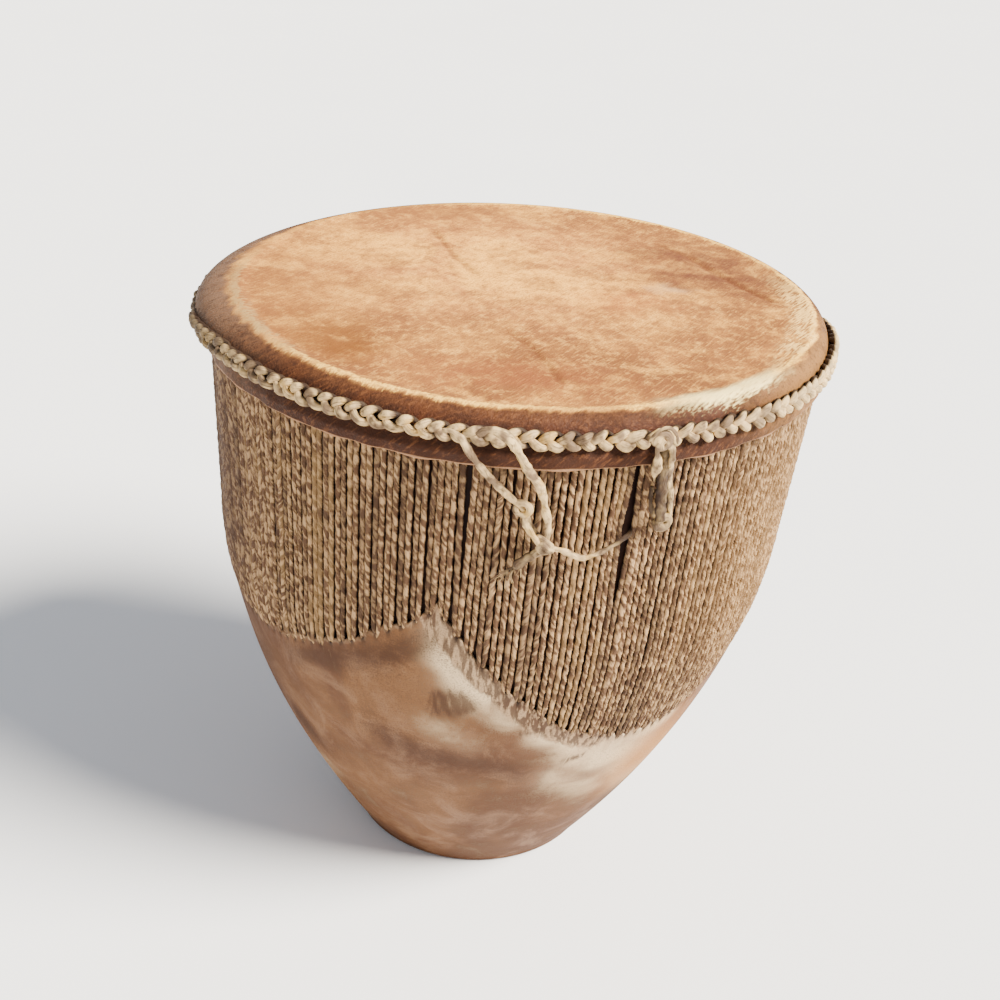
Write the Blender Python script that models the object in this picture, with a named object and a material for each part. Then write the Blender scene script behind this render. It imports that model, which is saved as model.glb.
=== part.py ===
# A hide-covered, laced drum: a hollowed wooden shell closed by a drum head on top and by a
# square hide folded up round its foot, drawn together by twisted hide lacing.
# Metres, +Z up. The origin is the centre of the flat underside that the drum stands on.
import math

import bmesh
import bpy
from mathutils import Matrix, Vector

# Wooden shell; each of the rim's swells is how far the hide bulges out there, its angle and
# how narrow it is
DRUM_HEIGHT = 0.448
HEAD_LEAN = 0.0117
FOOT_RADIUS = 0.0925
BELLY_RADIUS = 0.2045
BELLY_HEIGHT = 0.290
BELLY_POWER = 1.67
SHOULDER_RADIUS = 0.2115
SHOULDER_DROP = 0.012
RIDGE_WIDTH = 0.014
RIDGE_REACH = 0.008
RIDGE_REACH_ANGLE = 10.0
RIM_SWELLS = ((0.0030, 60.0, 2), (0.0055, 160.0, 10))
WALL = 0.017

# Hides, lacing and the gaps that keep the pieces apart
HIDE = 0.003
LACE = 0.0042
RIB_DEPTH = 0.0016
GAP = 0.0003
TUCK_GAP = 0.0006
SEAM_GAP = 0.001
SKIRT_LENGTH = 0.0295
TUCK_LENGTH = 0.006
FOOT_ROUND = 0.004

# Cut edge of the folded hide: its first corner, each corner's height, and between two
# corners the lowest point as degrees past the corner and height
FIRST_CORNER_ANGLE = -99.5
CORNER_HEIGHTS = (0.310, 0.290, 0.300, 0.285)
EDGE_VALLEYS = ((47.5, 0.183), (45.0, 0.205), (44.0, 0.225), (42.5, 0.236))

# Plaited band under the rim
BRAID_DROP = 0.013
BRAID_TILT = 0.0025
BRAID_HIGH_ANGLE = -130.0
BRAID_DIP = 0.006
BRAID_DIP_ANGLES = (0.0, 192.0)
BRAID_DIP_EASE = 25.0
BRAID_WIDTH = 0.012
BRAID_DEPTH = 0.0098
BRAID_GAP = 0.0012
BRAID_SWELL = 0.0012
BRAID_ROUND = 0.0022
BRAID_LUMPS = 95

# Faces around the drum, and pairs of laces around it
FACETS = 60
LACE_PAIRS = 150
LOWER_ROWS = (0.0, 0.25, 0.5, 0.75, 1.0)
UPPER_ROWS = (0.0, 0.22, 0.5, 1.0)
BORE_ROWS = (0.0, 0.2, 0.42, 0.65, 1.0)
RIM_STEPS = 2

# Loose thongs: thickness, how finely their curves are read, and the points they run
# through, chosen by hand
THONG = 0.0052
THONG_STEP = 2.0 * THONG
LEFT_ROUTE = (
    (-0.0268, -0.2271, 0.4435), (-0.0205, -0.2282, 0.4437), (-0.0151, -0.2286, 0.4393),
    (-0.0101, -0.2292, 0.4310), (-0.0045, -0.2278, 0.4230), (0.0004, -0.2256, 0.4161),
    (0.0061, -0.2229, 0.4091), (0.0117, -0.2216, 0.4029), (0.0218, -0.2209, 0.3933),
    (0.0247, -0.2192, 0.3867), (0.0272, -0.2180, 0.3802), (0.0314, -0.2173, 0.3739),
    (0.0381, -0.2177, 0.3675), (0.0341, -0.2175, 0.3630), (0.0271, -0.2168, 0.3569),
    (0.0212, -0.2163, 0.3502), (0.0152, -0.2158, 0.3464),
)
RIGHT_ROUTE = (
    (-0.0067, -0.2296, 0.4432), (-0.0009, -0.2302, 0.4475), (0.0052, -0.2313, 0.4468),
    (0.0124, -0.2318, 0.4424), (0.0188, -0.2306, 0.4319), (0.0246, -0.2284, 0.4213),
    (0.0303, -0.2252, 0.4125), (0.0336, -0.2228, 0.4025), (0.0358, -0.2212, 0.3923),
    (0.0381, -0.2204, 0.3837), (0.0381, -0.2177, 0.3675), (0.0474, -0.2161, 0.3641),
    (0.0538, -0.2152, 0.3610), (0.0605, -0.2135, 0.3582), (0.0668, -0.2115, 0.3593),
    (0.0728, -0.2094, 0.3616), (0.0790, -0.2071, 0.3650), (0.0840, -0.2044, 0.3678),
    (0.0888, -0.2017, 0.3701),
)
TIE_ROUTE = (
    (0.0995, -0.2132, 0.4415), (0.1054, -0.2103, 0.4350), (0.1070, -0.2078, 0.4265),
    (0.1073, -0.2033, 0.4190),
    (0.1082, -0.1975, 0.4067), (0.1101, -0.1952, 0.3940), (0.1114, -0.1938, 0.3826),
    (0.1066, -0.1965, 0.3775), (0.1016, -0.1987, 0.3835), (0.0988, -0.2004, 0.3911),
    (0.0980, -0.2011, 0.3985), (0.0983, -0.2017, 0.4040),
)
SHORT_ROUTE = (
    (0.0995, -0.2132, 0.4415), (0.0973, -0.2137, 0.4350), (0.0984, -0.2105, 0.4250),
    (0.0987, -0.2028, 0.4128), (0.0991, -0.2013, 0.4080),
)

# Knots: radii around the drum, outwards and upwards
UPPER_KNOT = (0.0062, 0.0050, 0.0055)
LOWER_KNOT = (0.0058, 0.0050, 0.0062)
TIE_KNOT = (0.0074, 0.0044, 0.0048)
TIE_HITCH = (0.0074, 0.0038, 0.0062)

COLOURS = {
    "wood": (0.30, 0.19, 0.11),
    "head": (0.56, 0.37, 0.25),
    "hide": (0.50, 0.33, 0.23),
    "lace": (0.46, 0.33, 0.22),
    "braid": (0.62, 0.51, 0.38),
    "thong": (0.60, 0.49, 0.36),
}
ROUGHNESS = 0.75
SHARP_ANGLE = math.radians(40.0)


def spot(angle, radius, height):
    """The point at an angle in degrees, a radius and a height, on the leaning axis."""
    turn = math.radians(angle)
    lean = HEAD_LEAN * height / DRUM_HEIGHT
    return Vector((radius * math.cos(turn) + lean, radius * math.sin(turn), height))


def wood_top():
    return DRUM_HEIGHT - HIDE - GAP


def foot_plane():
    return HIDE + GAP


def shoulder_height():
    return wood_top() - SHOULDER_DROP


def lace_top():
    return DRUM_HEIGHT - SKIRT_LENGTH + TUCK_LENGTH


def wood_radius(height):
    """The shell's outside: a foot that swells to the belly, then a nearly upright side."""
    if height < BELLY_HEIGHT:
        swell = 1.0 - (1.0 - height / BELLY_HEIGHT) ** BELLY_POWER
        return FOOT_RADIUS + (BELLY_RADIUS - FOOT_RADIUS) * swell
    rise = (height - BELLY_HEIGHT) / (shoulder_height() - BELLY_HEIGHT)
    return BELLY_RADIUS + (SHOULDER_RADIUS - BELLY_RADIUS) * rise


def side_radius(height, offset):
    """The radius of a surface that lies offset outside the wood, square to it."""
    step = 0.0005
    slope = (wood_radius(height + step) - wood_radius(height - step)) / (2.0 * step)
    return wood_radius(height) + offset * math.hypot(1.0, slope)


def ridge_width(angle):
    """How far the rim's round comes inwards: the head reaches further out on one side."""
    nearness = 0.5 + 0.5 * math.cos(math.radians(angle - RIDGE_REACH_ANGLE))
    return RIDGE_WIDTH - RIDGE_REACH * nearness ** 2


def rim_point(angle, step, offset):
    """Radius and height on the rounded rim, from the shoulder (0) to the ridge."""
    turn = 0.5 * math.pi * step / RIM_STEPS
    width = ridge_width(angle)
    radius = SHOULDER_RADIUS - width + (width + offset) * math.cos(turn)
    return radius, shoulder_height() + (SHOULDER_DROP + offset) * math.sin(turn)


def rim_swell(angle):
    """How far the hide bulges out of the rim's round at the back and at one side."""
    return sum(reach * (0.5 + 0.5 * math.cos(math.radians(angle - at))) ** narrowness
               for reach, at, narrowness in RIM_SWELLS)


def rim_outside(angle, step):
    """Radius and height on the hide's outer face, from the shoulder to the ridge."""
    radius, height = rim_point(angle, step, GAP + HIDE)
    return radius + rim_swell(angle) * math.cos(0.5 * math.pi * step / RIM_STEPS), height


def edge_height(angle):
    """Height of the folded hide's cut edge: straight cuts on a cone hang as parabolas."""
    quarters = ((angle - FIRST_CORNER_ANGLE) / 90.0) % 4.0
    corner = int(quarters) % 4
    past = 90.0 * (quarters - int(quarters))
    valley_at, valley = EDGE_VALLEYS[corner]
    if past < valley_at:
        peak = CORNER_HEIGHTS[corner]
        share = 1.0 - past / valley_at
    else:
        peak = CORNER_HEIGHTS[(corner + 1) % 4]
        share = (past - valley_at) / (90.0 - valley_at)
    return valley + (peak - valley) * share * share


def facet_angle(step):
    return FIRST_CORNER_ANGLE + 360.0 * step / FACETS


def seam_height(angle):
    """The cut edge as the facets carry it, so that both sides of the seam agree."""
    place = (angle - FIRST_CORNER_ANGLE) * FACETS / 360.0
    step = math.floor(place + 1e-6)
    share = place - step
    return (1.0 - share) * edge_height(facet_angle(step)) + share * edge_height(facet_angle(step + 1))


def ring(count, point_at):
    """One closed ring of points; point_at gives radius and height for an angle."""
    points = []
    for step in range(count):
        angle = FIRST_CORNER_ANGLE + 360.0 * step / count
        radius, height = point_at(angle, step)
        points.append(spot(angle, radius, height))
    return points


def level_ring(radius, height):
    return ring(FACETS, lambda angle, step: (radius, height))


def rim_ring(step, offset):
    return ring(FACETS, lambda angle, place: rim_point(angle, step, offset))


def outer_rim_ring(step):
    return ring(FACETS, lambda angle, place: rim_outside(angle, step))


def lower_ring(share, offset):
    """A ring between the foot and the hide's cut edge."""
    def point_at(angle, step):
        height = foot_plane() + (seam_height(angle) - foot_plane()) * share
        return side_radius(height, offset), height
    return ring(FACETS, point_at)


def upper_ring(share, offset, count=FACETS, rib=0.0, lift=0.0):
    """A ring between the cut edge and the top of the lacing; rib sinks each second point."""
    def point_at(angle, step):
        bottom = seam_height(angle) + lift
        height = bottom + (lace_top() - bottom) * share
        return side_radius(height, offset - rib * (step % 2)), height
    return ring(count, point_at)


def material(name):
    made = bpy.data.materials.get(name)
    if made is None:
        made = bpy.data.materials.new(name)
        made.use_nodes = True
        shader = made.node_tree.nodes["Principled BSDF"]
        shader.inputs["Base Color"].default_value = (*COLOURS[name], 1.0)
        shader.inputs["Roughness"].default_value = ROUGHNESS
        shader.inputs["Metallic"].default_value = 0.0
    return made


def finish(name, mesh, surface):
    mesh.materials.append(material(surface))
    mesh.shade_smooth()
    mesh.set_sharp_from_angle(angle=SHARP_ANGLE)
    made = bpy.data.objects.new(name, mesh)
    bpy.context.scene.collection.objects.link(made)
    return made


def bridge(bm, first, second):
    """Faces between two rings; the longer ring may hold a whole multiple of points."""
    if len(first) == len(second):
        for step in range(len(first)):
            after = (step + 1) % len(first)
            bm.faces.new((first[step], first[after], second[after], second[step]))
        return
    fine, coarse = (first, second) if len(first) > len(second) else (second, first)
    share = len(fine) // len(coarse)
    for step, corner in enumerate(coarse):
        after = coarse[(step + 1) % len(coarse)]
        run = [fine[(step * share + place) % len(fine)] for place in range(share + 1)]
        middle = share // 2
        for place in range(middle):
            bm.faces.new((corner, run[place], run[place + 1]))
        bm.faces.new((corner, run[middle], after))
        for place in range(middle, share):
            bm.faces.new((after, run[place], run[place + 1]))


def solid(name, rings, surface, closed):
    """A body skinned over rings: closed joins last to first, else both ends get a cap."""
    bm = bmesh.new()
    loops = [[bm.verts.new(point) for point in points] for points in rings]
    for first, second in zip(loops, loops[1:]):
        bridge(bm, first, second)
    if closed:
        bridge(bm, loops[-1], loops[0])
    else:
        bm.faces.new(loops[0])
        bm.faces.new(loops[-1])
    bmesh.ops.recalc_face_normals(bm, faces=bm.faces)
    if bm.calc_volume(signed=True) < 0.0:
        bmesh.ops.reverse_faces(bm, faces=bm.faces)
    mesh = bpy.data.meshes.new(name)
    bm.to_mesh(mesh)
    bm.free()
    return finish(name, mesh, surface)


def shell():
    """The hollowed log, open at both ends."""
    rings = [lower_ring(share, 0.0) for share in LOWER_ROWS]
    rings += [upper_ring(share, 0.0) for share in UPPER_ROWS[1:]]
    rings += [rim_ring(step, 0.0) for step in range(RIM_STEPS + 1)]
    for share in reversed(BORE_ROWS):
        height = foot_plane() + (wood_top() - foot_plane()) * share
        outside = SHOULDER_RADIUS if share == 1.0 else wood_radius(height)
        inset = WALL if share == 1.0 else side_radius(height, WALL) - wood_radius(height)
        rings.append(level_ring(outside - inset, height))
    return solid("shell", rings, "wood", closed=True)


def skirt_points(offset):
    """Radius and height at the skirt's lower edge and where it closes over the lacing."""
    bottom = DRUM_HEIGHT - SKIRT_LENGTH
    return [(side_radius(height, offset), height) for height in (bottom, lace_top())]


def head_skin():
    """The drum head: flat top, rounded rim and a skirt that covers the ends of the lacing."""
    inside = GAP + LACE + TUCK_GAP
    rings = [rim_ring(step, GAP) for step in range(RIM_STEPS, -1, -1)]
    rings += [level_ring(*point) for point in reversed(skirt_points(inside))]
    rings += [level_ring(*point) for point in skirt_points(inside + HIDE)]
    rings += [outer_rim_ring(step) for step in range(RIM_STEPS + 1)]
    return solid("head_skin", rings, "head", closed=False)


def base_skin():
    """The square hide folded up round the foot, with its four corners standing up."""
    outside = GAP + HIDE
    rings = [level_ring(side_radius(HIDE, GAP), HIDE)]
    rings += [lower_ring(share, GAP) for share in LOWER_ROWS[1:]]
    rings += [lower_ring(share, outside) for share in reversed(LOWER_ROWS[1:])]
    rings.append(level_ring(side_radius(FOOT_ROUND, outside), FOOT_ROUND))
    rings.append(level_ring(side_radius(0.0, outside) - FOOT_ROUND, 0.0))
    return solid("base_skin", rings, "hide", closed=False)


def lacing():
    """All the laces as one sleeve, with a rib for each pair."""
    columns = 2 * LACE_PAIRS
    inner = [upper_ring(share, GAP, lift=SEAM_GAP) for share in UPPER_ROWS]
    outer = [upper_ring(share, GAP + LACE, columns, RIB_DEPTH, SEAM_GAP) for share in UPPER_ROWS]
    return solid("lacing", inner + outer[::-1], "lace", closed=True)


def head_outside(angle, height):
    """The drum head's outer radius at a height under its rim."""
    top_radius, top = rim_outside(angle, 0)
    low_radius, low = skirt_points(GAP + LACE + TUCK_GAP + HIDE)[1]
    if height < top:
        share = (height - low) / (top - low)
        return low_radius + (top_radius - low_radius) * share
    rise = (height - top) / (SHOULDER_DROP + GAP + HIDE)
    round_width = ridge_width(angle) + GAP + HIDE + rim_swell(angle)
    return top_radius - round_width + round_width * math.sqrt(1.0 - rise * rise)


def braid_middle(angle):
    """Height of the band's middle line: a little askew, and sagging round the back."""
    askew = BRAID_TILT * math.cos(math.radians(angle - BRAID_HIGH_ANGLE))
    start, end = BRAID_DIP_ANGLES
    past = (angle - start) % 360.0
    ease = min(1.0, max(0.0, min(past, end - start - past) / BRAID_DIP_EASE))
    return DRUM_HEIGHT - BRAID_DROP + askew - BRAID_DIP * ease * ease * (3.0 - 2.0 * ease)


def braid():
    """The plaited band: upper and lower strands swell in turn and slant to its middle."""
    columns = 2 * BRAID_LUMPS
    half = 0.5 * BRAID_WIDTH

    def face(angle):
        seat = head_outside(angle, braid_middle(angle) - half) + TUCK_GAP
        return seat + BRAID_DEPTH - BRAID_SWELL

    def back(side):
        def point_at(angle, step):
            height = braid_middle(angle) + side * half
            return head_outside(angle, height) + BRAID_GAP, height
        return ring(columns, point_at)

    def front(side):
        def point_at(angle, step):
            swell = BRAID_SWELL * (1.0 if (step % 2 == 0) == (side > 0) else -1.0)
            height = braid_middle(angle) + side * (half - BRAID_SWELL + swell)
            return face(angle) - BRAID_ROUND + swell, height
        return ring(columns, point_at)

    def crown():
        points = []
        for step in range(columns):
            swell = BRAID_SWELL * (1.0 if step % 2 == 0 else -1.0)
            angle = FIRST_CORNER_ANGLE + 360.0 * (step + 0.5) / columns
            points.append(spot(angle, face(angle), braid_middle(angle) + swell))
        return points

    rings = [back(1), front(1), crown(), front(-1), back(-1)]
    return solid("braid", rings, "braid", closed=True)


def smooth_route(route):
    """A fine curve through hand-chosen points, rounded like a thong and not like wire."""
    points = [Vector(point) for point in route]
    points = [2.0 * points[0] - points[1], *points, 2.0 * points[-1] - points[-2]]
    fine_steps = 40
    curve = []
    for a, b, c, d in zip(points, points[1:], points[2:], points[3:]):
        for step in range(fine_steps):
            t = step / fine_steps
            curve.append(0.5 * (2.0 * b + (c - a) * t + (2.0 * a - 5.0 * b + 4.0 * c - d) * t * t
                                + (3.0 * b - a - 3.0 * c + d) * t ** 3))
    return [*curve, points[-2]]


def outside_knots(curve, knots):
    """The stretches of a curve that no knot holds; a knot is its centre and its radii."""
    runs = [[]]
    for point in curve:
        if all((point - centre).length > max(radii) + GAP for centre, radii in knots):
            runs[-1].append(point)
        elif runs[-1]:
            runs.append([])
    return [run for run in runs if run]


def even_points(run):
    """The same stretch with evenly spaced points."""
    lengths = [0.0]
    for first, second in zip(run, run[1:]):
        lengths.append(lengths[-1] + (second - first).length)
    count = max(2, round(lengths[-1] / THONG_STEP))
    picked = []
    for step in range(count + 1):
        target = lengths[-1] * step / count
        index = min(range(len(run)), key=lambda place: abs(lengths[place] - target))
        picked.append(run[index])
    return picked


def thong(name, run):
    curve = bpy.data.curves.new(name, "CURVE")
    curve.dimensions = "3D"
    curve.bevel_depth = 0.5 * THONG
    curve.bevel_resolution = 2
    curve.use_fill_caps = True
    spline = curve.splines.new("POLY")
    points = even_points(run)
    spline.points.add(len(points) - 1)
    for slot, point in zip(spline.points, points):
        slot.co = (*point, 1.0)
    curve.materials.append(material("thong"))
    made = bpy.data.objects.new(name, curve)
    bpy.context.scene.collection.objects.link(made)
    return made


def knot(name, centre, radii):
    """A pulled-tight knot, flattened against the drum's side."""
    bm = bmesh.new()
    bmesh.ops.create_icosphere(bm, subdivisions=2, radius=1.0)
    lean = HEAD_LEAN * centre.z / DRUM_HEIGHT
    turn = math.atan2(centre.y, centre.x - lean) - 0.5 * math.pi
    place = Matrix.Translation(centre) @ Matrix.Rotation(turn, 4, "Z") @ Matrix.Diagonal((*radii, 1.0))
    bmesh.ops.transform(bm, matrix=place, verts=bm.verts)
    mesh = bpy.data.meshes.new(name)
    bm.to_mesh(mesh)
    bm.free()
    return finish(name, mesh, "thong")


def loose_thongs():
    """Two loose ends of the braid, knotted together, and a tie hitched over the braid."""
    upper = (Vector(LEFT_ROUTE[8]), UPPER_KNOT)
    lower = (Vector(LEFT_ROUTE[12]), LOWER_KNOT)
    tie = (Vector(TIE_ROUTE[7]), TIE_KNOT)
    hitch = (Vector(TIE_ROUTE[0]), TIE_HITCH)
    for name, (centre, radii) in {"knot_upper": upper, "knot_lower": lower,
                                  "tie_knot": tie, "tie_hitch": hitch}.items():
        knot(name, centre, radii)
    lines = (
        (LEFT_ROUTE, (upper, lower), ("thong_left", "thong_middle", "thong_tail")),
        (RIGHT_ROUTE, (lower,), ("thong_right", "thong_sag")),
        (TIE_ROUTE, (hitch, tie), ("tie_long", "tie_back")),
        (SHORT_ROUTE, (hitch,), ("tie_short",)),
    )
    for route, knots, names in lines:
        for name, run in zip(names, outside_knots(smooth_route(route), knots)):
            thong(name, run)


def main():
    for old in list(bpy.data.objects):
        bpy.data.objects.remove(old, do_unlink=True)
    shell()
    head_skin()
    base_skin()
    lacing()
    braid()
    loose_thongs()


main()
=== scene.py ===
import math

import bpy
import numpy as np
from mathutils import Matrix, Vector


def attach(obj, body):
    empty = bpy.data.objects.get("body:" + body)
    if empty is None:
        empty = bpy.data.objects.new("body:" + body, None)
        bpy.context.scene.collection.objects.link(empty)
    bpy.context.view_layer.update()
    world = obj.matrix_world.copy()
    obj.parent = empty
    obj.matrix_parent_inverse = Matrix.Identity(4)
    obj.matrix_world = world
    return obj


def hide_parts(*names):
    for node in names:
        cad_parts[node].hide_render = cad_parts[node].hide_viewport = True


# A hide-covered, laced drum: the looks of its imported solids, in metres and degrees.
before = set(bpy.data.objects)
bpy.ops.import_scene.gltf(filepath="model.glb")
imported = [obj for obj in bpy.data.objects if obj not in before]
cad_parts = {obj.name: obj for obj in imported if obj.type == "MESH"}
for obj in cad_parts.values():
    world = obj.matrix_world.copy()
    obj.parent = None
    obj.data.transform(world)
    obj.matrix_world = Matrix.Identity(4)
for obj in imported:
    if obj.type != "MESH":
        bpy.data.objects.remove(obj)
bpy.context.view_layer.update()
anyPhase = (0.0, 6.28)  # where a random wave may start, in radians
print("frame loaded with", len(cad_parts), "nodes")

drum = {  # the drum's driving sizes, as its solids have them
    "height": 0.448, "headLean": 0.0117,
    "footRadius": 0.0925, "bellyRadius": 0.2045, "bellyHeight": 0.290, "bellyPower": 1.67,
    "shoulderRadius": 0.2115, "shoulderDrop": 0.012,
    "ridgeWidth": 0.014, "ridgeReach": 0.008, "ridgeReachAngle": 10.0,
    "rimSwells": ((0.0050, 52.0, 2), (0.0055, 160.0, 10), (0.0085, 184.0, 12)),
    "hide": 0.003, "lace": 0.0042, "gap": 0.0003, "tuckGap": 0.0006,
    "skirtLength": 0.0295, "tuckLength": 0.006, "footRound": 0.004,
    "firstCorner": -99.5, "cornerHeights": (0.310, 0.290, 0.300, 0.285),
    "edgeValleys": ((47.5, 0.183), (45.0, 0.205), (44.0, 0.225), (42.5, 0.236)),
    "plaitDrop": 0.013, "plaitTilt": 0.0025, "plaitHighAngle": -130.0,
    "plaitDip": 0.0085, "plaitDipAngles": (-8.0, 212.0), "plaitDipEase": 24.0,
}
woodTop = drum["height"] - drum["hide"] - drum["gap"]
shoulderHeight = woodTop - drum["shoulderDrop"]
hemHeight = drum["height"] - drum["skirtLength"]
tuckHeight = hemHeight + drum["tuckLength"]
hideOut = drum["gap"] + drum["hide"]  # how far the hide's outer face stands off the wood
skirtIn = drum["gap"] + drum["lace"] + drum["tuckGap"]  # and the inner face of the head's skirt


def spots(angle, radius, height):  # points at angles, radii and heights on the leaning axis
    turn = np.radians(angle)
    lean = drum["headLean"] * height / drum["height"]
    return np.stack(np.broadcast_arrays(radius * np.cos(turn) + lean, radius * np.sin(turn), height), -1)


def facing(angle, at):  # 1 in one direction, 0 opposite it
    return 0.5 + 0.5 * np.cos(np.radians(angle - at))


def bell(away, half):  # 1 at no distance, fading to 0 beyond a half width
    return np.exp(-(away / half) ** 2)


def turnFrom(start, angle):  # degrees from one direction to another, -180 to 180
    return (angle - start + 180.0) % 360.0 - 180.0


def woodRadius(height):
    low = 1.0 - (1.0 - np.minimum(height, drum["bellyHeight"]) / drum["bellyHeight"]) ** drum["bellyPower"]
    rise = np.maximum(height - drum["bellyHeight"], 0.0) / (shoulderHeight - drum["bellyHeight"])
    return (drum["footRadius"] + (drum["bellyRadius"] - drum["footRadius"]) * low
            + (drum["shoulderRadius"] - drum["bellyRadius"]) * rise)


def woodSlope(height):
    step = 0.0005
    return (woodRadius(height + step) - woodRadius(height - step)) / (2.0 * step)


def sideRadius(height, offset):
    return woodRadius(height) + offset * np.hypot(1.0, woodSlope(height))


def ridgeWidth(angle):
    return drum["ridgeWidth"] - drum["ridgeReach"] * facing(angle, drum["ridgeReachAngle"]) ** 2


def rimPoint(angle, share, offset):  # radius and height from the shoulder (0) to the ridge (1)
    turn = 0.5 * math.pi * share
    width = ridgeWidth(angle)
    radius = drum["shoulderRadius"] - width + (width + offset) * np.cos(turn)
    return radius, shoulderHeight + (drum["shoulderDrop"] + offset) * np.sin(turn)


def rimSwell(angle):  # how far the hide bulges out of the rim's round
    return sum(reach * facing(angle, at) ** narrowness for reach, at, narrowness in drum["rimSwells"])


def rimOutside(angle, share):  # the same on the hide's outer face, bulges included
    radius, height = rimPoint(angle, share, hideOut)
    return radius + rimSwell(angle) * np.cos(0.5 * math.pi * share), height


def edgeHeight(angle):  # the folded hide's cut edge, a parabola from corner to corner
    quarters = ((angle - drum["firstCorner"]) / 90.0) % 4.0
    corner = np.minimum(np.floor(quarters).astype(int), 3)
    past = 90.0 * (quarters - corner)
    peaks = np.array(drum["cornerHeights"])
    valleyAt, valley = np.array(drum["edgeValleys"]).T
    falling = past < valleyAt[corner]
    peak = np.where(falling, peaks[corner], peaks[(corner + 1) % 4])
    share = np.where(falling, 1.0 - past / valleyAt[corner],
                     (past - valleyAt[corner]) / (90.0 - valleyAt[corner]))
    return valley[corner] + (peak - valley[corner]) * share ** 2


def headOutside(angle, height):  # the drum head's outer radius at a height under its rim
    topRadius, top = rimOutside(angle, 0.0)
    lowRadius = sideRadius(tuckHeight, skirtIn + drum["hide"])
    share = (height - tuckHeight) / (top - tuckHeight)
    below = lowRadius + (topRadius - lowRadius) * share
    rise = np.clip((height - top) / (drum["shoulderDrop"] + hideOut), 0.0, 1.0)
    width = ridgeWidth(angle) + hideOut + rimSwell(angle)
    return np.where(height < top, below, topRadius - width + width * np.sqrt(1.0 - rise * rise))


def plaitEase(angle):  # 1 where the plait has slipped down under the rim, at the back
    start, end = drum["plaitDipAngles"]
    past = (angle - start) % 360.0
    ease = np.clip(np.minimum(past, end - start - past) / drum["plaitDipEase"], 0.0, 1.0)
    return ease ** 2 * (3.0 - 2.0 * ease)


def plaitMiddle(angle):
    askew = drum["plaitTilt"] * np.cos(np.radians(angle - drum["plaitHighAngle"]))
    return drum["height"] - drum["plaitDrop"] + askew - drum["plaitDip"] * plaitEase(angle)


def outwards(angle, height):  # the side's outward direction
    turn = np.radians(angle)
    slope = woodSlope(height)
    away = np.stack(np.broadcast_arrays(np.cos(turn), np.sin(turn), -slope), -1)
    return away / np.linalg.norm(away, axis=-1, keepdims=True)


def wander(place, draw, reach, size):  # a smooth random line: place is a distance, reach its waves' length
    total = np.zeros_like(place, dtype=float)
    for share in (1.0, 0.57, 0.31):
        total += share ** 0.7 * np.sin(place / (reach * share) * 2.0 * math.pi + draw.uniform(*anyPhase))
    return size * total / 1.8


def ringWander(angle, draw, waves, size):  # the same round the drum, closed on itself
    total = np.zeros_like(angle, dtype=float)
    for count in waves:
        total += np.sin(np.radians(angle) * count + draw.uniform(*anyPhase)) * draw.uniform(0.6, 1.0)
    return size * total / math.sqrt(len(waves))


def smoothed(values, axis):  # each value eased towards its neighbours
    return 0.5 * values + 0.25 * (np.roll(values, 1, axis=axis) + np.roll(values, -1, axis=axis))


def unit(vectors):
    return vectors / np.maximum(np.linalg.norm(vectors, axis=-1, keepdims=True), 1e-9)


def linear(colour):  # a colour as seen on a screen, 0 to 255, as light
    return tuple(((c / 255.0 + 0.055) / 1.055) ** 2.4 if c > 10 else c / 3294.6 for c in colour)


class Wire:  # an output socket that Python's operators can work on
    def __init__(self, finish, socket):
        self.finish = finish
        self.socket = socket

    def maths(self, operation, other, flipped=False):
        pair = {0: other, 1: self} if flipped else {0: self, 1: other}
        return self.finish.node("Math", {"operation": operation}, pair)

    def __add__(self, other):
        return self.maths("ADD", other)

    def __sub__(self, other):
        return self.maths("SUBTRACT", other)

    def __rsub__(self, other):
        return self.maths("SUBTRACT", other, True)

    def __mul__(self, other):
        return self.maths("MULTIPLY", other)

    __radd__ = __add__
    __rmul__ = __mul__


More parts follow.
